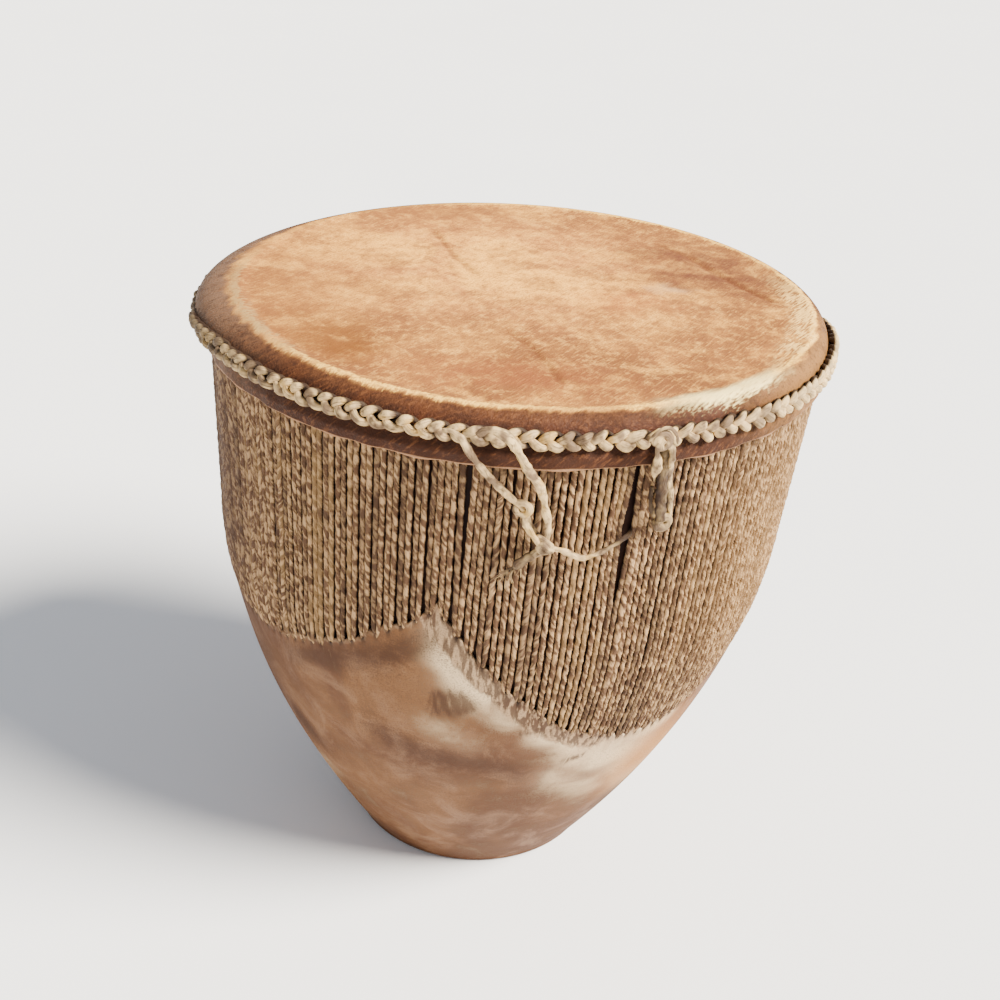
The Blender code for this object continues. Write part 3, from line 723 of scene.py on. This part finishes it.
def laceFinish():
    finish = Finish("twistedLace", {"Specular IOR Level": 0.12})
    place = finish.place()
    tone = finish.attribute("tone")
    fleck = finish.weave((3.2, 130.0), 2.0)
    streak = finish.weave((16.0, 90.0), 3.0)
    fine = finish.noise(place, 800.0, 3.0)
    patch = finish.noise(place, 38.0, 3.0) - 0.5
    colour = finish.mix(finish.step(fleck, 0.44, 0.60), laces["mid"], laces["light"])
    colour = finish.stainsAndShade(colour, (tone + patch * 1.2, 0.60, 1.0, 0.55, laces["brown"]),
                          (tone + patch * 0.6, 0.12, 0.0, 0.45, laces["yellow"]),
                          (streak, 0.52, 0.72, 0.65, laces["brown"]),
                          (fine, 0.55, 0.75, 0.35, laces["brown"]))
    # painted shade on the left side and painted light on the right side
    colour = finish.paintedLightAndShade(colour, place, *laces["paintedLightAndShade"])
    # painted shade between the strands: darker away from each strand's crest
    colour = finish.stainsAndShade(colour, (finish.attribute("crest"), 0.76, 0.44, 1.0, laces["dirtAndShade"]))
    bump = streak * 0.8 + fine * 0.4
    return finish.shade(colour, finish.step(fine, 0.3, 0.7, 0.55, 0.8), bump, 0.8, 0.0008)


def makeLaces():
    draw = np.random.default_rng(laces["seed"])
    found = laceList(draw)
    material = laceFinish()
    share = math.ceil(len(found) / len(laces["parts"]))
    for part, letter in enumerate(laces["parts"]):
        mesh = laceMesh("laces" + letter, found[part * share:(part + 1) * share], draw)
        addPiece("laces" + letter, mesh, material, ("lacing",) if part == 0 else ())
    print("laces made:", len(found))
    return found


# The drum head: a stretched top with a worn ridge and a skirt over the laces' ends
head = {"columns": 480, "topRings": 66, "roundRings": 10, "skirtRings": 12, "beadRise": 0.0008,
        "beadWidth": 0.005, "beadLobe": (0.0014, -148.0, 5), "sag": 0.0008, "ripple": 0.00035,
        "skirtRipple": 0.0005, "hemWave": 0.0008, "roundLength": 0.02, "seed": 3}
headPatches = (  # centre, size, strength and tint
    ((-0.0963, -0.124), (0.042, 0.048, 0.03), 0.85, (116, 68, 24)),
    ((-0.1200, -0.098), (0.056, 0.050, 0.03), 0.75, (116, 70, 28)),
    # painted shade over the head's left side
    ((-0.1500, -0.030), (0.120, 0.160, 0.04), 0.45, (142, 88, 40)),
    ((0.1177, 0.024), (0.022, 0.016, 0.03), 0.8, (240, 186, 122)),
    ((0.085, -0.010), (0.050, 0.040, 0.03), 0.4, (160, 84, 40)),
    ((0.145, 0.075), (0.090, 0.095, 0.04), 0.95, (96, 54, 36)),
    ((0.010, -0.150), (0.110, 0.040, 0.03), 0.6, (138, 76, 38)),
    ((-0.060, 0.160), (0.120, 0.055, 0.03), 0.45, (140, 88, 44)),
)
creases = (  # points on the head, depth and half width
    (((0.1397, 0.095), (0.1587, 0.061), (0.1907, 0.014)), 0.0012, 0.0028),
    (((0.1180, 0.120), (0.1397, 0.095)), 0.0006, 0.0030),
    (((-0.060, 0.120), (-0.0393, 0.063), (-0.022, 0.030)), 0.0006, 0.0030),
    (((0.006, -0.080), (0.0207, -0.103), (0.0397, -0.155)), 0.0006, 0.0030),
)


def creaseDepth(x, y):  # how deep the creases go at points of the head, and 1 near the deep ones
    depth = np.zeros_like(x)
    near = np.zeros_like(x)
    for points, deep, half in creases:
        away = np.full_like(x, 1.0)
        for (ax, ay), (bx, by) in zip(points, points[1:]):
            away = np.minimum(away, awayFromSpan(x - ax, y - ay, bx - ax, by - ay))
        depth = np.maximum(depth, deep * bell(away, half))
        near = np.maximum(near, min(1.0, deep / 0.0008) * bell(away, half * 1.2))
    return depth, near


def makeHead():
    draw = np.random.default_rng(head["seed"])
    angle = drum["firstCorner"] + 360.0 * np.arange(head["columns"]) / head["columns"]
    flat = drum["shoulderRadius"] - ridgeWidth(angle)
    waveTurns = draw.uniform(*anyPhase, (14, 2))
    hem = hemHeight + ringWander(angle, draw, (5, 11, 17, 29, 47), head["hemWave"])
    pleat = ringWander(angle, draw, (23, 37, 53, 71), head["skirtRipple"])
    lobe, at, narrowness = head["beadLobe"]
    beadRise = head["beadRise"] + lobe * facing(angle, at) ** narrowness
    rows, ridge = [], []

    def addRow(radius, height, fromRidge):
        rows.append(spots(angle, radius, height))
        ridge.append(np.broadcast_to(fromRidge, angle.shape))

    for share in np.linspace(0.012, 1.0, head["topRings"]) ** 0.9:
        radius = flat * share
        inwards = flat - radius
        bead = beadRise * (bell(inwards, head["beadWidth"]) - 0.15)
        addRow(radius, drum["height"] - head["sag"] * (1.0 - share ** 2) + bead, -inwards)
    for share in np.linspace(1.0, 0.0, head["roundRings"] + 1)[1:]:
        radius, height = rimOutside(angle, share)
        addRow(radius, height + beadRise * 0.85 * share ** 2, (1.0 - share) * head["roundLength"])
    top = rimOutside(angle, 0.0)[1]
    for share in np.linspace(0.0, 1.0, head["skirtRings"] + 1)[1:]:
        height = top + (hem - top) * share
        radius = np.where(height < tuckHeight, sideRadius(height, skirtIn + drum["hide"]),
                          headOutside(angle, height)) + pleat * share
        addRow(radius, height, head["roundLength"] + (top - height))
    outer = head["roundLength"] + float(top) - hemHeight
    for out, down in ((0.86, 0.0006), (0.5, 0.0009), (0.14, 0.0006), (0.0, 0.0)):
        addRow(sideRadius(hem, skirtIn + drum["hide"] * out) + pleat, hem - down, outer + 0.001)
    addRow(sideRadius(tuckHeight, skirtIn) + pleat * 0.5, tuckHeight, outer + 0.004)
    for share in np.linspace(0.0, 1.0, 5):
        radius, height = rimPoint(angle, share, drum["gap"])
        addRow(radius, height, outer + 0.01)
    for share in (0.6, 0.3, 0.01):
        addRow(flat * share, woodTop + drum["gap"], outer + 0.01)
    rings, ridge = np.array(rows), np.array(ridge)
    flatRows = slice(0, head["topRings"])
    x, y = rings[flatRows, :, 0], rings[flatRows, :, 1]
    wave = np.zeros_like(x)
    for first, second in waveTurns:
        reach = 0.03 + 0.02 * math.sin(first * 3.0)
        wave += np.sin((x * math.cos(first) + y * math.sin(first)) / reach * 2.0 + second)
    depth, near = creaseDepth(x, y)
    rings[flatRows, :, 2] += wave / 4.0 * head["ripple"] - depth
    creased = np.zeros(ridge.shape)
    creased[flatRows] = near
    mesh = skin("drumHead", [rings], {"ridge": [ridge], "crease": [creased]})
    addPiece("drumHead", mesh, headFinish(), ("head_skin",))
    print("drum head made")


def headFinish():
    finish = Finish("drumHeadHide", {"Specular IOR Level": 0.14})
    place = finish.place()
    ridge = finish.attribute("ridge")
    hair = finish.stretch(place, (0.0, 0.0, 58.0), (5.5, 1.0, 1.0))
    stroke = finish.noise(hair, 700.0, 2.0, 0.5)
    broad = finish.noise(hair, 130.0, 3.0, 0.6) - 0.5
    slant = finish.noise(finish.stretch(place, (0.0, -40.0, 0.0), (5.0, 1.0, 1.0)), 480.0, 3.0, 0.6)
    cloud = finish.noise(place, 11.0, 4.0, 0.6, 0.6)
    patch = finish.noise(place, 34.0, 4.0, 0.65, 0.4)
    small = finish.noise(place, 110.0, 4.0, 0.7)
    fine = finish.noise(place, 900.0, 2.0)
    wild = finish.warp(place, 60.0, 0.03)
    # painted light: the head is brighter in the middle and darker towards its edges
    middle = finish.spot(wild, (-0.010, 0.050, drum["height"]), (0.230, 0.190, 0.10), 0.75)
    light = finish.mix(middle, (176, 116, 52), (255, 180, 74))
    deep = finish.mix(middle, (126, 78, 38), (208, 138, 64))
    colour = finish.mix(finish.step(cloud, 0.38, 0.60), light, deep)
    colour = finish.stainsAndShade(
        colour, (patch, 0.46, 0.66, 0.6, (132, 82, 44)), (patch, 0.48, 0.32, 0.5, (255, 184, 80)),
        (small, 0.46, 0.68, 0.5, (126, 80, 44)), (small, 0.50, 0.32, 0.4, (255, 190, 92)),
        (stroke, 0.52, 0.74, 0.3, (255, 188, 92)), (stroke, 0.48, 0.28, 0.36, (120, 72, 36)),
        (fine, 0.46, 0.68, 0.5, (114, 72, 42)))
    blotchy = finish.step(patch, 0.35, 0.6, 0.5, 1.0)
    for centre, size, most, tint in headPatches:
        mask = finish.spot(wild, (*centre, drum["height"]), size, 0.9) * blotchy
        colour = finish.mix(mask * most, colour, tint)
    crease = finish.attribute("crease") * finish.step(small, 0.36, 0.56, 0.35, 0.8)
    colour = finish.mix(crease, colour, (96, 52, 28))
    skirt = finish.mix(finish.step(patch, 0.35, 0.65), (70, 36, 20), (44, 22, 14))
    # below the plait the skirt is darker, as its own colour and as painted shade under the plait
    skirt = finish.stainsAndShade(skirt, (ridge, 0.016, 0.004, 0.6, (94, 58, 32)),
                         (ridge, 0.019, 0.024, 0.8, (56, 30, 15)))
    # painted light on the skirt's right and painted shade, greyer, on its left
    skirt = finish.paintedLightAndShade(skirt, wild, ((0.21, -0.08, 0.44), (0.13, 0.13, 0.06), 0.8, 0.8, (144, 102, 54)),
                        ((-0.21, -0.01, 0.44), (0.15, 0.20, 0.06), 0.8, 0.8, (126, 96, 72)))
    skirt = finish.stainsAndShade(skirt, (small, 0.48, 0.66, 0.5, (52, 30, 20)),
                         (slant, 0.50, 0.70, 0.4, (122, 76, 44)), (slant, 0.48, 0.30, 0.5, (46, 26, 18)))
    colour = finish.mix(finish.step(ridge + broad * 0.008, 0.0012, 0.0052), colour, skirt)
    ragged = ridge + broad * 0.009 + (stroke - 0.5) * 0.006
    line = finish.step(ragged, -0.0028, -0.0002) * finish.step(ragged, 0.0036, 0.0008)
    line = line * finish.step(cloud, 0.30, 0.48, 0.45, 1.0)
    far = finish.spot(place, (-0.16, 0.13, 0.45), (0.21, 0.17, 0.10), 0.6)
    line = line * (1.0 - 0.85 * far) * finish.step(slant + (small - 0.5) * 0.8, 0.34, 0.56, 0.35, 1.0)
    # painted shade: the worn line is duller on the left
    dull = finish.spot(place, (-0.20, -0.06, 0.45), (0.17, 0.17, 0.10), 0.8)
    colour = finish.mix(line * 0.9, colour, finish.mix(dull, (255, 198, 88), (168, 132, 78)))
    roll = finish.spot(wild, (-0.170, -0.110, 0.45), (0.080, 0.075, 0.04), 0.7)
    wide = finish.spot(wild, (0.215, -0.030, 0.45), (0.070, 0.120, 0.04), 0.7)
    for mask, inner, tint in ((roll, -0.009, (160, 128, 78)), (wide, -0.022, (250, 200, 112))):
        mask = mask * finish.step(ragged, inner, 0.4 * inner) * finish.step(ragged, 0.004, 0.0005)
        mask = mask * finish.step(stroke + (patch - 0.5) * 0.8, 0.40, 0.60, 0.1, 1.0)
        colour = finish.mix(mask * 0.85, colour, tint)
    bare = finish.spot(wild, (0.155, -0.160, 0.444), (0.080, 0.070, 0.03), 0.8)
    bare = bare * finish.step(ridge + (stroke - 0.5) * 0.016 + broad * 0.012, 0.010, 0.002)
    bare = bare * finish.step(ridge + broad * 0.014, -0.010, -0.002)
    colour = finish.mix(bare, colour, (255, 226, 148))
    colour = finish.stainsAndShade(colour, (ridge, 0.0335, 0.0345, 0.8, (164, 122, 88)))
    bump = stroke * 0.5 + patch * 0.8 + fine * 0.4 + slant * finish.step(ridge, 0.0, 0.004, 0.0, 0.6)
    return finish.shade(colour, finish.step(patch, 0.3, 0.7, 0.6, 0.8), bump, 0.6, 0.0014)


# The folded hide round the foot, slit along its cut edge where the laces go in
creamStrokes = (  # points as angle and height, half width and strength
    (((-97.0, 0.284), (-94.5, 0.266), (-91.0, 0.246)), 0.0165, 1.1),
    (((-89.0, 0.232), (-84.0, 0.216)), 0.0110, 0.55),
    (((-78.0, 0.200), (-68.0, 0.184), (-56.0, 0.172), (-44.0, 0.178)), 0.0110, 0.8),
    (((-64.0, 0.172), (-50.0, 0.150), (-42.0, 0.125)), 0.0260, 0.85),
    (((-100.0, 0.205), (-92.0, 0.190)), 0.0140, 0.35),
    (((-72.0, 0.150), (-56.0, 0.120)), 0.0160, 0.5),
    (((-12.0, 0.275), (-4.0, 0.250), (8.0, 0.225)), 0.0120, 0.5),
    (((78.0, 0.276), (90.0, 0.250)), 0.0140, 0.4),
    (((172.0, 0.262), (184.0, 0.232)), 0.0140, 0.5),
    (((-150.0, 0.060), (-140.0, 0.090)), 0.0160, 0.4),
)
brownStrokes = (
    (((-98.5, 0.237), (-94.5, 0.239), (-92.0, 0.231), (-95.0, 0.224), (-99.0, 0.223)), 0.0052, 1.0),
    (((-132.0, 0.226), (-120.0, 0.244), (-108.0, 0.262), (-101.0, 0.285)), 0.0110, 0.8),
    (((-81.5, 0.204), (-77.0, 0.209)), 0.0024, 1.0),
    (((-70.5, 0.167), (-66.0, 0.171)), 0.0024, 1.0),
    (((-112.0, 0.186), (-100.0, 0.172), (-88.0, 0.168), (-80.0, 0.155)), 0.0130, 0.7),
    (((-150.0, 0.150), (-135.0, 0.130)), 0.0180, 0.6),
    (((20.0, 0.130), (40.0, 0.160)), 0.0160, 0.7),
    (((120.0, 0.120), (140.0, 0.090)), 0.0180, 0.7),
)
tornBands = (((-99.0, 0.298), (-91.5, 0.265), (-85.5, 0.242), (-79.5, 0.220), (-72.5, 0.203),
              (-65.0, 0.190)), 0.0095, 1.0),
baseHide = {"columns": 960, "rows": 30,
            "nearRows": (0.0, 0.0008, 0.0016, 0.0026, 0.0038, 0.0052, 0.007, 0.009, 0.012, 0.016),
            "ripple": 0.0006, "tongue": 0.0036, "tongueSpread": 0.0022, "fray": 0.0009,
            "edgeLift": 0.0011, "edgeDown": 0.001, "edgeRound": 0.0008, "rough": 0.0003, "flake": 0.00045,
            "fadeLength": 0.008, "footRings": (0.06, 0.03, 0.01), "seed": 9}


def makeBaseHide(found):
    draw = np.random.default_rng(baseHide["seed"])
    columns = baseHide["columns"]
    angle = drum["firstCorner"] + 360.0 * np.arange(columns) / columns
    middles = np.array([lace["middle"] for lace in found[::2]])
    offs = turnFrom(middles[None, :], angle[:, None])
    pair = np.abs(offs).argmin(axis=1)
    off = offs[np.arange(columns), pair] / (0.5 * 360.0 / laces["pairs"])  # 0 in a slit, 1 between slits
    reach = draw.normal(baseHide["tongue"], baseHide["tongueSpread"], len(middles) + 1)
    side = np.where(off > 0.0, pair, (pair - 1) % len(middles))
    tongue = reach[side] * np.clip(np.abs(off), 0.0, 1.0) ** 1.5
    edge = edgeHeight(angle) + tongue - baseHide["edgeDown"]
    edge = edge + draw.normal(0.0, baseHide["fray"], columns) * 0.6
    slow = ringWander(angle, draw, (3, 5, 7, 11), baseHide["ripple"])
    quick = ringWander(angle, draw, (13, 19, 31), baseHide["ripple"] * 0.6)
    rough = smoothed(draw.normal(0.0, 1.0, (len(baseHide["nearRows"]), columns)), 1)
    flake = np.repeat(draw.normal(0.0, 1.0, columns // 2), 2)
    rows, fromEdge, slits = [], [], []

    def addRow(radius, height, down, slit=0.0):
        rows.append(spots(angle, radius, height))
        fromEdge.append(np.broadcast_to(down, angle.shape))
        slits.append(np.broadcast_to(slit, angle.shape))

    def addSide(height, offset, down):
        addRow(sideRadius(height, offset), height, down, 1.0 - np.abs(off))

    floorHeight = drum["hide"] + drum["gap"]
    last = baseHide["nearRows"][-1]
    addRow(0.01, floorHeight, 0.2)
    addRow(sideRadius(floorHeight, drum["gap"]), floorHeight, 0.2)
    addSide(edge - last, drum["gap"], last)
    addSide(edge, drum["gap"], 0.0)
    for number, down in enumerate(baseHide["nearRows"]):
        height = edge - down
        fade = math.exp(-down / baseHide["fadeLength"])
        lift = baseHide["edgeLift"] * fade * (np.abs(off) - 0.5) + rough[number] * baseHide["rough"] * fade
        lift = lift + flake * baseHide["flake"] * fade * painted(angle, height, tornBands)
        lift = lift - (baseHide["edgeRound"] if number == 0 else 0.0)
        addSide(height, hideOut + lift + quick * (1.0 - fade), down)
    for share in np.linspace(0.0, 1.0, baseHide["rows"] + 1)[1:]:
        height = edge - last + (drum["footRound"] - edge + last) * share
        sway = slow * math.sin(math.pi * share) + quick * (1.0 - share)
        addSide(height, hideOut + sway, edge - height)
    foot = drum["footRound"]
    rim = sideRadius(foot, hideOut)
    for turn in (30.0, 60.0, 90.0):
        bend = math.radians(turn)
        addRow(rim - foot * (1.0 - math.cos(bend)), foot * (1.0 - math.sin(bend)), edge)
    for radius in baseHide["footRings"]:
        addRow(radius, 0.0, edge + 0.1)
    rings = np.array(rows)
    masks = {name: [painted(angle[None, :], rings[..., 2], strokes)] for name, strokes in
             (("cream", creamStrokes), ("brown", brownStrokes), ("torn", tornBands))}
    mesh = skin("foldedHide", [rings],
                {"fromEdge": [np.array(fromEdge)], "slit": [np.array(slits)], **masks})
    addPiece("foldedHide", mesh, hideFinish(), ("base_skin",))
    print("folded hide made")


def hideFinish():
    finish = Finish("foldedHide", {"Specular IOR Level": 0.14})
    place = finish.place()
    down = finish.attribute("fromEdge")
    cloud = finish.noise(place, 9.0, 3.0, 0.55, 0.8)
    patch = finish.noise(place, 30.0, 4.0, 0.6, 0.5)
    grain = finish.noise(place, 900.0, 2.0, 0.6)
    hair = finish.noise(finish.stretch(place, (0.0, 90.0, 0.0), (5.0, 1.0, 1.0)), 300.0, 3.0)
    smear = finish.noise(finish.stretch(place, (0.0, 0.0, 0.0), (3.0, 3.0, 1.0)), 60.0, 4.0)
    colour = finish.mix(finish.step(cloud, 0.36, 0.64), (112, 76, 46), (88, 56, 34))
    colour = finish.stainsAndShade(colour, (patch, 0.46, 0.74, 0.5, (66, 40, 26)),
                          (patch, 0.52, 0.28, 0.42, (140, 104, 72)))
    for name, tint, most in (("cream", (214, 186, 146), 0.92), ("brown", (62, 37, 22), 0.85)):
        mask = finish.attribute(name) + (patch - 0.5) * 1.1 + (smear - 0.5) * 0.4 + (grain - 0.5) * 0.6
        colour = finish.stainsAndShade(colour, (mask, 0.05, 0.95, most, tint))
    # painted light, ochre, low on the right and painted shade on the left
    colour = finish.paintedLightAndShade(colour, place,
                         ((0.125, -0.110, 0.14), (0.060, 0.06, 0.075), 0.8, 0.85, (160, 104, 46)),
                         ((-0.20, -0.06, 0.20), (0.15, 0.16, 0.16), 0.8, 0.55, (60, 40, 28)))
    band = finish.step(down + (hair - 0.5) * 0.005, 0.0045, 0.001)
    pale = finish.mix(finish.step(hair, 0.44, 0.56), (150, 124, 94), (206, 182, 146))
    right = finish.spot(place, (0.090, -0.175, 0.20), (0.110, 0.10, 0.07), 0.5)
    colour = finish.mix(band * (right * 0.6 + 0.2), colour, pale)
    torn = finish.attribute("torn") + (hair - 0.5) * 1.2 + (patch - 0.5) * 0.5
    torn = finish.step(torn, 0.20, 0.50) * finish.step(down, 0.030, 0.020, 0.0, 0.9)
    ragged = finish.mix(finish.step(hair, 0.44, 0.58), (74, 52, 37), (160, 130, 98))
    colour = finish.mix(torn, colour, ragged)
    # painted shade in the slits where the laces go in
    slit = finish.step(finish.attribute("slit"), 0.45, 0.85) * finish.step(down, 0.0075, 0.0)
    colour = finish.mix(slit, colour, (34, 20, 12))
    colour = finish.stainsAndShade(colour, (grain, 0.44, 0.70, 0.45, (64, 42, 28)))
    bump = grain * 0.35 + patch * 0.8 + hair * finish.step(down, 0.02, 0.0, 0.1, 0.8)
    return finish.shade(colour, finish.step(patch, 0.3, 0.7, 0.6, 0.8), bump, 0.5, 0.0014)


# The wooden shell, seen only as darkness between the laces: its near-black colour is partly painted shade
wood = {"dark": (28, 14, 10), "light": (46, 26, 18)}


def woodFinish():
    finish = Finish("hollowedWood", {"Specular IOR Level": 0.1})
    grain = finish.noise(finish.stretch(finish.place(), (0.0, 90.0, 0.0), (8.0, 1.0, 1.0)), 240.0, 4.0)
    colour = finish.mix(finish.step(grain, 0.35, 0.65), wood["dark"], wood["light"])
    return finish.shade(colour, finish.step(grain, 0.3, 0.7, 0.65, 0.85), grain, 0.5, 0.001)


def dressShell():
    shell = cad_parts["shell"]
    material = woodFinish()
    for slot in shell.material_slots:
        slot.material = material
    print("shell dressed")


# Pale floor and soft studio light
studio = {"floor": (250, 249, 247), "floorCloud": (243, 242, 240), "floorSize": 40.0,
          "world": (0.89, 0.95, 1.06), "worldStrength": 0.62}
sun = {"from": (0.69, -0.23, 0.685), "strength": 15.6, "spread": 26.0, "colour": (1.0, 0.95, 0.87)}


def makeStudio():
    half = 0.5 * studio["floorSize"]
    mesh = bpy.data.meshes.new("floor")
    mesh.from_pydata([(-half, -half, 0.0), (half, -half, 0.0), (half, half, 0.0), (-half, half, 0.0)],
                     [], [(0, 1, 2, 3)])
    finish = Finish("paleFloor", {"Roughness": 0.9, "Specular IOR Level": 0.1})
    cloud = finish.noise(finish.place(), 2.0, 2.0)
    colour = finish.stainsAndShade(studio["floor"], (cloud, 0.3, 0.7, 0.3, studio["floorCloud"]))
    mesh.materials.append(finish.shade(colour))
    addObject("floor", mesh)
    world = bpy.data.worlds.new("studio")
    world.use_nodes = True
    background = world.node_tree.nodes["Background"]
    background.inputs["Color"].default_value = (*studio["world"], 1.0)
    background.inputs["Strength"].default_value = studio["worldStrength"]
    bpy.context.scene.world = world
    light = bpy.data.lights.new("keyLight", "SUN")
    light.energy = sun["strength"]
    light.angle = math.radians(sun["spread"])
    light.color = sun["colour"]
    addObject("keyLight", light).rotation_euler = (-Vector(sun["from"])).to_track_quat("-Z", "Y").to_euler()
    print("studio lit")


makeCamera()
makeCords()
makePlait()
madeLaces = makeLaces()
makeHead()
makeBaseHide(madeLaces)
dressShell()
makeStudio()
